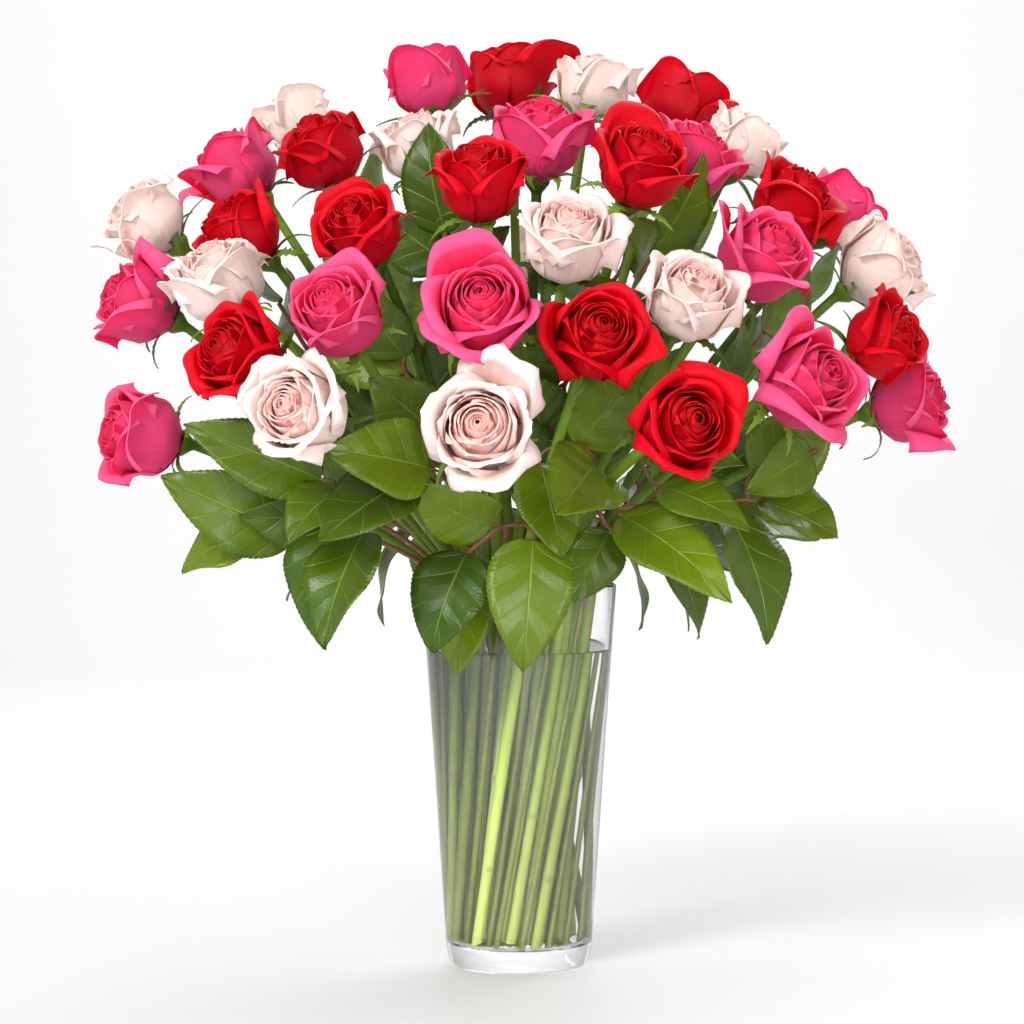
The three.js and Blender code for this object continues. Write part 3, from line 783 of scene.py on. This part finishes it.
def thorn_parts(path, walk, end, stem_radius, chance):
    """Short curved cones on the stem above the water: circles that shrink in a power of the way out
    while the middle line bends down."""
    above = np.nonzero((path[:, 2] > WATER_Z + 50 * MM) & (walk < end - 20 * MM))[0]
    chosen = chance.choice(above, min(3, len(above)), replace=False)
    out = np.linspace(0, 1, 5)
    for place in chosen:
        along = unit(path[place + 1] - path[place])
        aim = unit(np.cross(along, chance.normal(size=3)))
        long = chance.uniform(3.2, 5.5) * MM
        reach = (stem_radius * 0.8 + long * out)[:, None]
        droop = (long * 0.4 * out**2)[:, None]
        line = path[place] + reach * aim - droop * along
        points, faces = tube(line, 1.5 * MM * (1 - out) ** 0.9 + 0.05 * MM, THORN_SIDES)
        yield points, faces, (0.9, chance.uniform(), 0.8)


def sepal_part(neck_point, axis, chance):
    """Five sepals round the top of the hip. Each leaves outwards and bends down through an angle that
    grows with the way along it; its width shrinks in a power of the way, with small side lobes."""
    u = np.linspace(-1, 1, 5)[None, :, None]
    v = np.linspace(0, 1, SEPAL_ALONG)[None, None]
    each = drawn_evenly(chance, SEPALS)
    long = each(22, 34) * MM
    steep = np.radians(each(35, 75)) + np.radians(each(40, 120)) * v
    step = long / (SEPAL_ALONG - 1)
    r = 6.2 * MM + np.cumsum(step * np.sin(steep), 2)
    z = 9.2 * MM + np.cumsum(step * np.cos(steep), 2)
    lobes = 1 + 1.1 * (np.sin(v * 44 + each(0, 6)) > 0.75) * (v > 0.25) * (v < 0.75)
    wide = 3.1 * MM * (1 - v) ** 0.75 * lobes + 0.25 * MM
    turn = np.arange(SEPALS)[:, None, None] * 2 * math.pi / SEPALS + each(-0.15, 0.15)
    sway = np.radians(each(-25, 25)) * v**2
    azimuth = turn + sway
    across = u * wide
    x = r * np.cos(azimuth) - across * np.sin(azimuth)
    y = r * np.sin(azimuth) + across * np.cos(azimuth)
    grid = np.stack([x, y, z + 0.5 * MM * np.abs(u) * (1 - v)], -1)
    points, faces, side = sheet(grid @ lean_frame(axis, chance.uniform(0, 6)) + neck_point, 0.5 * MM)
    tone = np.stack(np.broadcast_arrays(0.95 - 0.1 * side, chance.uniform(), 0.1), -1)
    return points, [faces], tone.reshape(-1, 3)


def stem_material():
    """Stem skin: fresh green, yellower and paler towards the foot, painted light for the stems lit in the
    glass and water, and darker towards the hip; brown at scars and thorn tips, with fine lengthwise
    mottling."""
    material, tree, shader = new_material("rose_stem")
    tone = add(tree, "ShaderNodeAttribute", attribute_name="tone")
    parts = add(tree, "ShaderNodeSeparateColor")
    place = add(tree, "ShaderNodeTexCoord")
    stretch = add(tree, "ShaderNodeMapping")
    stretch.inputs["Scale"].default_value = (220, 220, 30)
    mottle = add(tree, "ShaderNodeTexNoise", {"Scale": 1.0, "Detail": 3.0})
    greens = add(tree, "ShaderNodeValToRGB")
    # painted light: the ramp by the share of the way up is palest at the foot, where the stems stand lit
    # in the glass and water
    greens.color_ramp.elements[0].color = (0.42, 0.48, 0.11, 1)
    greens.color_ramp.elements[1].color = (0.12, 0.22, 0.02, 1)
    greens.color_ramp.elements[1].position = 0.95
    greens.color_ramp.elements.new(0.45).color = (0.26, 0.37, 0.045, 1)
    own = add(tree, "ShaderNodeMapRange", {"To Min": 0.3, "To Max": 1.25})
    light = add(tree, "ShaderNodeMapRange", {"To Min": 0.75, "To Max": 1.25})
    shades = add(tree, "ShaderNodeMath", operation="MULTIPLY")
    tint = add(tree, "ShaderNodeVectorMath", operation="SCALE")
    scars = add(tree, "ShaderNodeMix", data_type="RGBA")
    scars.inputs["B"].default_value = (0.24, 0.12, 0.05, 1)
    share = add(tree, "ShaderNodeMapRange", {"From Min": 0.45, "From Max": 1.1, "To Max": 0.75})
    bump = add(tree, "ShaderNodeBump", {"Strength": 0.3, "Distance": 0.0004})
    join(
        tree,
        tone.outputs["Color"], parts.inputs["Color"],
        parts.outputs["Red"], greens.inputs["Fac"],
        parts.outputs["Green"], own.inputs["Value"],
        place.outputs["Object"], stretch.inputs["Vector"],
        stretch.outputs["Vector"], mottle.inputs["Vector"],
        mottle.outputs["Fac"], light.inputs["Value"],
        own.outputs["Result"], shades.inputs[0],
        light.outputs["Result"], shades.inputs[1],
        greens.outputs["Color"], tint.inputs["Vector"],
        shades.outputs["Value"], tint.inputs["Scale"],
        tint.outputs["Vector"], scars.inputs["A"],
        parts.outputs["Blue"], share.inputs["Value"],
        share.outputs["Result"], scars.inputs["Factor"],
        scars.outputs["Result"], shader.inputs["Base Color"],
        mottle.outputs["Fac"], bump.inputs["Height"],
        bump.outputs["Normal"], shader.inputs["Normal"],
    )
    set_inputs(shader, {"Roughness": 0.45, "Specular IOR Level": 0.15})
    return material


rose_green = stem_material()
for name in roses:
    centres, radii, neck, axis, chance = grown[name]
    rod, path, walk, end, stem_radius = stem_part(centres, radii, neck, axis, chance)
    thorns = list(thorn_parts(path, walk, end, stem_radius, chance))
    sepals = sepal_part(centres[neck], axis, chance)
    link_parts(name + "_stem", [rod, *thorns, sepals], rose_green, name)

# ---------------------------------------------------------------------------------------------
# The salal: thin red-brown woody stalks with broad leathery leaves. A leaf is an oval that runs to
# a point, finely toothed, folded a little along its midrib, glossy above and dull and pale below.
# ---------------------------------------------------------------------------------------------

LEAF_ACROSS = 9
LEAF_ALONG = 79
LEAF_THICK = 0.5 * MM
TWIG_SIDES = 8
LEAF_STALK_SIDES = 6
TEETH = 26
PLATE_AREA = 700 * MM**2  # only a leaf's flat face is larger than this
TIP_SHARE = 0.534  # how far a flat leaf's middle of area is from its tip, as a share of its length
AREA_SHARE = 0.635  # a flat leaf's area, as a share of its length times its width


def spread_labels(count, pairs):
    """Numbers the groups that the pairs of items form: every item ends with its group's least number."""
    labels = np.arange(count)
    while True:
        lowest = np.minimum(labels[pairs[:, 0]], labels[pairs[:, 1]])
        before = labels.copy()
        np.minimum.at(labels, pairs[:, 0], lowest)
        np.minimum.at(labels, pairs[:, 1], lowest)
        if (labels == before).all():
            return labels


def coplanar_groups(points, triangles):
    """Labels the triangles so that those that share an edge and lie in one plane share a label."""
    corners = points[triangles]
    cross = np.cross(corners[:, 1] - corners[:, 0], corners[:, 2] - corners[:, 0])
    area = np.linalg.norm(cross, axis=1) / 2
    normal = cross / np.maximum(2 * area, 1e-15)[:, None]
    edges = np.sort(triangles[:, [0, 1, 1, 2, 2, 0]].reshape(-1, 2), axis=1)
    owner = np.repeat(np.arange(len(triangles)), 3)
    order = np.lexsort((edges[:, 1], edges[:, 0]))
    edges, owner = edges[order], owner[order]
    twins = np.nonzero((edges[1:] == edges[:-1]).all(1))[0]
    pairs = np.stack([owner[twins], owner[twins + 1]], -1)
    flat = (normal[pairs[:, 0]] * normal[pairs[:, 1]]).sum(-1) > 0.9998
    return spread_labels(len(triangles), pairs[flat]), area, normal, corners.mean(1)


def flat_leaves(points, triangles):
    """The CAD sprig's leaves: base, tip, width and upper side of each, and which points are on them."""
    labels, area, normal, middle = coplanar_groups(points, triangles)
    leaves, on_leaf = [], np.zeros(len(points), bool)
    for label in np.unique(labels):
        group = labels == label
        total = area[group].sum()
        if total > PLATE_AREA:
            own = np.unique(triangles[group])
            on_leaf[own] = True
            centre = (area[group, None] * middle[group]).sum(0) / total
            up = normal[group][area[group].argmax()]
            if up @ (centre * [1, 1, 0] + [0, -0.05, 0.03]) > 0:
                far = np.linalg.norm(points[own] - centre, axis=1)
                tip = points[own[far.argmax()]]
                long = far.max() / TIP_SHARE
                leaves.append((tip - unit(tip - centre) * long, tip, total / (long * AREA_SHARE), up))
    return leaves, on_leaf


def stalk_line(points, on_leaf):
    """The line of a CAD sprig's stalk: the middles of its groups of points, each the next nearest."""
    rest = points[~on_leaf]
    near = np.linalg.norm(rest[:, None] - rest[None], axis=-1) < 2.6 * MM
    labels = spread_labels(len(rest), np.argwhere(near))
    groups = [rest[labels == label] for label in np.unique(labels)]
    middles = [g.mean(0) for g in groups if len(g) >= 4 and np.ptp(g, axis=0).max() > 2.4 * MM]
    line = [middles.pop(int(np.argmin([m[2] for m in middles])))]
    while middles:
        nearest = int(np.argmin([np.linalg.norm(m - line[-1]) for m in middles]))
        line.append(middles.pop(nearest))
    return np.array(line)


def leaf_grids(leaves, chance):
    """Leaf blades from base to tip. Half the width is a power of the way from the base times a power of
    the way to the tip, with a saw of teeth on it. The blade rises to both sides of the midrib, arches
    along its length in a square, and waves at the edges in a sine."""
    bases, tips, wides, ups = (np.array(column) for column in zip(*leaves))
    each = drawn_evenly(chance, len(leaves))
    u = np.linspace(-1, 1, LEAF_ACROSS)[None, :, None]
    v = np.linspace(0, 1, LEAF_ALONG)[None, None]
    low, high = each(0.42, 0.55), each(0.8, 1.0)
    peak = low / (low + high)
    outline = (v**low * (1 - v) ** high) / (peak**low * (1 - peak) ** high)
    saw = (v * TEETH) % 1
    teeth = 0.035 * (saw - 0.5) * (v > 0.12) * (v < 0.97) * np.abs(u) ** 3
    half = wides[:, None, None] / 2 * np.clip(outline + teeth, 0.012, None)
    long = np.linalg.norm(tips - bases, axis=1)[:, None, None]
    x = u * half
    fold = each(0.1, 0.32) * np.abs(x)
    arch = -long * each(0.02, 0.12) * (2 * v - 0.7) ** 2
    curl = -long * each(0.0, 0.1) * v**4
    edges = np.abs(u) ** 1.5 * np.sign(u + 0.1)
    wave = 0.035 * wides[:, None, None] * np.sin(v * each(7, 13) + each(0, 6)) * edges
    twist = each(-0.22, 0.22) * x * v
    z = fold + arch + curl + wave + twist
    aim = unit(tips - bases)[:, None, None]
    up = ups[:, None, None]
    across = np.cross(aim, up)
    y = v * long
    grid = bases[:, None, None] + x[..., None] * across + y[..., None] * aim + z[..., None] * up
    uv = np.stack(np.broadcast_arrays((u + 1) / 2, v, half)[:2], -1)
    tone = np.stack(np.broadcast_arrays(0.0, each(0, 1), half / 0.03), -1)
    return (grid, uv, tone), aim[:, 0, 0]


def leaf_stalks(grids, aims, path, chance):
    """The leaves' own stalks: each curves in a quadratic from the sprig's stalk into the blade."""
    t = np.linspace(0, 1, 9)[:, None]
    for grid, aim in zip(grids, aims):
        base = grid[LEAF_ACROSS // 2, 1]
        low = path - [0, 0, 6 * MM]
        root = path[np.linalg.norm(low - base, axis=1).argmin()]
        bend = base - aim * np.linalg.norm(base - root) * 0.55
        line = (1 - t) ** 2 * root + 2 * t * (1 - t) * bend + t**2 * base
        points, faces = tube(line, np.linspace(1.25, 0.8, len(t)) * MM, LEAF_STALK_SIDES)
        yield points, faces, (0.55, chance.uniform(), 0.2)


def vein_mask():
    """A group: how much of a leaf's surface is vein, and how far it is between two side veins. The
    midrib lies where the blade's own across coordinate is a half; side veins are the low points of a
    saw that climbs towards the edge."""
    group = bpy.data.node_groups.new("leaf_veins", "ShaderNodeTree")
    group.interface.new_socket("Place", in_out="INPUT", socket_type="NodeSocketVector")
    group.interface.new_socket("Midrib", in_out="OUTPUT", socket_type="NodeSocketFloat")
    group.interface.new_socket("Side veins", in_out="OUTPUT", socket_type="NodeSocketFloat")
    group.interface.new_socket("Between", in_out="OUTPUT", socket_type="NodeSocketFloat")
    enter = add(group, "NodeGroupInput")
    leave = add(group, "NodeGroupOutput")
    where = add(group, "ShaderNodeSeparateXYZ")
    centred = add(group, "ShaderNodeMath", {1: 0.5}, operation="SUBTRACT")
    aside = add(group, "ShaderNodeMath", operation="ABSOLUTE")
    falling = {"To Min": 1.0, "To Max": 0.0}
    midrib = add(group, "ShaderNodeMapRange", {"From Min": 0.004, "From Max": 0.022, **falling})
    bow = add(group, "ShaderNodeMath", {1: 0.75}, operation="POWER")
    climb = add(group, "ShaderNodeMath", {1: -0.42}, operation="MULTIPLY")
    slant = add(group, "ShaderNodeMath", operation="ADD")
    count = add(group, "ShaderNodeMath", {1: 8.0}, operation="MULTIPLY")
    shift = add(group, "ShaderNodeMath", {1: 0.0}, operation="GREATER_THAN")
    half = add(group, "ShaderNodeMath", {1: 0.45}, operation="MULTIPLY")
    staggered = add(group, "ShaderNodeMath", operation="ADD")
    saw = add(group, "ShaderNodeMath", {1: 1.0}, operation="PINGPONG")
    crest = add(group, "ShaderNodeMapRange", {"From Min": 0.0, "From Max": 0.085, **falling})
    join(
        group,
        enter.outputs["Place"], where.inputs["Vector"],
        where.outputs["X"], centred.inputs[0],
        centred.outputs["Value"], aside.inputs[0],
        aside.outputs["Value"], midrib.inputs["Value"],
        midrib.outputs["Result"], leave.inputs["Midrib"],
        aside.outputs["Value"], bow.inputs[0],
        bow.outputs["Value"], climb.inputs[0],
        climb.outputs["Value"], slant.inputs[0],
        where.outputs["Y"], slant.inputs[1],
        slant.outputs["Value"], count.inputs[0],
        centred.outputs["Value"], shift.inputs[0],
        shift.outputs["Value"], half.inputs[0],
        count.outputs["Value"], staggered.inputs[0],
        half.outputs["Value"], staggered.inputs[1],
        staggered.outputs["Value"], saw.inputs[0],
        saw.outputs["Value"], crest.inputs["Value"],
        crest.outputs["Result"], leave.inputs["Side veins"],
        saw.outputs["Value"], leave.inputs["Between"],
    )
    return group


def leaf_material():
    """Waxy leaf: green that varies by leaf and in soft patches, yellower veins sunk above and raised
    below, a paler dull underside."""
    material, tree, shader = new_material("salal_leaf")
    place = add(tree, "ShaderNodeUVMap", uv_map="blade")
    tone = add(tree, "ShaderNodeAttribute", attribute_name="tone")
    parts = add(tree, "ShaderNodeSeparateColor")
    veins = add(tree, "ShaderNodeGroup", node_tree=vein_mask())
    where = add(tree, "ShaderNodeTexCoord")
    patches = add(tree, "ShaderNodeTexNoise", {"Scale": 38.0, "Detail": 4.0})
    pores = add(tree, "ShaderNodeTexVoronoi", {"Scale": 900.0})
    greens = add(tree, "ShaderNodeValToRGB")
    greens.color_ramp.elements[0].color = (0.018, 0.05, 0.001, 1)
    greens.color_ramp.elements[1].color = (0.13, 0.2, 0.002, 1)
    greens.color_ramp.elements.new(0.5).color = (0.058, 0.11, 0.001, 1)
    spread = add(tree, "ShaderNodeMath", {1: 0.35}, operation="MULTIPLY")
    pick = add(tree, "ShaderNodeMath", {1: 0.75, 2: 0.0}, operation="MULTIPLY_ADD")
    below = add(tree, "ShaderNodeMix", data_type="RGBA")
    below.inputs["A"].default_value = (0.15, 0.22, 0.05, 1)
    rib = add(tree, "ShaderNodeMix", data_type="RGBA")
    rib.inputs["B"].default_value = (0.26, 0.34, 0.05, 1)
    most = add(tree, "ShaderNodeMath", operation="MAXIMUM")
    fine = add(tree, "ShaderNodeMath", {1: 0.45}, operation="MULTIPLY")
    amount = add(tree, "ShaderNodeMath", {1: 0.6}, operation="MULTIPLY")
    rough = add(tree, "ShaderNodeMapRange", {"To Min": 0.55, "To Max": 0.33})
    depth = add(tree, "ShaderNodeMath", {1: -0.6}, operation="MULTIPLY")
    quilt = add(tree, "ShaderNodeMath", {1: 0.8}, operation="MULTIPLY_ADD")
    swell = add(tree, "ShaderNodeMath", {1: 0.9}, operation="MULTIPLY_ADD")
    height = add(tree, "ShaderNodeMath", {1: 0.1}, operation="MULTIPLY_ADD")
    bump = add(tree, "ShaderNodeBump", {"Strength": 0.9, "Distance": 0.0009})
    join(
        tree,
        place.outputs["UV"], veins.inputs["Place"],
        tone.outputs["Color"], parts.inputs["Color"],
        where.outputs["Object"], patches.inputs["Vector"],
        where.outputs["Object"], pores.inputs["Vector"],
        patches.outputs["Fac"], spread.inputs[0],
        parts.outputs["Green"], pick.inputs[0],
        spread.outputs["Value"], pick.inputs[2],
        pick.outputs["Value"], greens.inputs["Fac"],
        greens.outputs["Color"], below.inputs["B"],
        parts.outputs["Red"], below.inputs["Factor"],
        veins.outputs["Side veins"], fine.inputs[0],
        fine.outputs["Value"], most.inputs[0],
        veins.outputs["Midrib"], most.inputs[1],
        most.outputs["Value"], amount.inputs[0],
        amount.outputs["Value"], rib.inputs["Factor"],
        below.outputs["Result"], rib.inputs["A"],
        rib.outputs["Result"], shader.inputs["Base Color"],
        parts.outputs["Red"], rough.inputs["Value"],
        rough.outputs["Result"], shader.inputs["Roughness"],
        most.outputs["Value"], depth.inputs[0],
        pores.outputs["Distance"], height.inputs[0],
        veins.outputs["Between"], quilt.inputs[0],
        depth.outputs["Value"], quilt.inputs[2],
        patches.outputs["Fac"], swell.inputs[0],
        quilt.outputs["Value"], swell.inputs[2],
        swell.outputs["Value"], height.inputs[2],
        height.outputs["Value"], bump.inputs["Height"],
        bump.outputs["Normal"], shader.inputs["Normal"],
    )
    set_inputs(shader, {"Specular IOR Level": 0.3, "Coat Weight": 0.05, "Coat Roughness": 0.25})
    return material


def twig_material():
    """Salal stalk: red-brown bark above, greener in the vase."""
    material, tree, shader = new_material("salal_twig")
    tone = add(tree, "ShaderNodeAttribute", attribute_name="tone")
    parts = add(tree, "ShaderNodeSeparateColor")
    place = add(tree, "ShaderNodeTexCoord")
    grain = add(tree, "ShaderNodeTexNoise", {"Scale": 320.0, "Detail": 3.0})
    bark = add(tree, "ShaderNodeValToRGB")
    bark.color_ramp.elements[0].color = (0.12, 0.17, 0.01, 1)
    bark.color_ramp.elements[1].color = (0.2, 0.075, 0.03, 1)
    bark.color_ramp.elements[1].position = 0.6
    light = add(tree, "ShaderNodeMapRange", {"To Min": 0.6, "To Max": 1.4})
    tint = add(tree, "ShaderNodeVectorMath", operation="SCALE")
    bump = add(tree, "ShaderNodeBump", {"Strength": 0.4, "Distance": 0.0004})
    join(
        tree,
        tone.outputs["Color"], parts.inputs["Color"],
        parts.outputs["Red"], bark.inputs["Fac"],
        place.outputs["Object"], grain.inputs["Vector"],
        grain.outputs["Fac"], light.inputs["Value"],
        bark.outputs["Color"], tint.inputs["Vector"],
        light.outputs["Result"], tint.inputs["Scale"],
        tint.outputs["Vector"], shader.inputs["Base Color"],
        grain.outputs["Fac"], bump.inputs["Height"],
        bump.outputs["Normal"], shader.inputs["Normal"],
    )
    set_inputs(shader, {"Roughness": 0.5})
    return material


salal_leaf = leaf_material()
salal_bark = twig_material()
for name in sorted(name for name, slot in slot_of.items() if slot == "foliage"):
    points, triangles = node_mesh(name)
    chance = np.random.default_rng(int(name[-2:]) + 400)
    leaves, on_leaf = flat_leaves(points, triangles)
    knots = stalk_line(points, on_leaf)
    path = supple(knots, 4 * MM, 30 * MM)
    share = np.linspace(0, 1, len(path))
    points, faces = tube(path, (1.9 - 0.5 * share) * MM, TWIG_SIDES)
    height = np.clip((path[:, 2] - WATER_Z) / (60 * MM), 0.1, 1)
    rod = points, faces, rod_tone(len(path), TWIG_SIDES, height[:, None], chance.uniform(), 0)
    grids, aims = leaf_grids(leaves, chance)
    stalks = list(leaf_stalks(grids[0], aims, path, chance))
    link_parts(name + "_twig", [rod, *stalks], salal_bark, name)
    shell_piece(name + "_leaves", grids, LEAF_THICK, salal_leaf, "foliage", name)
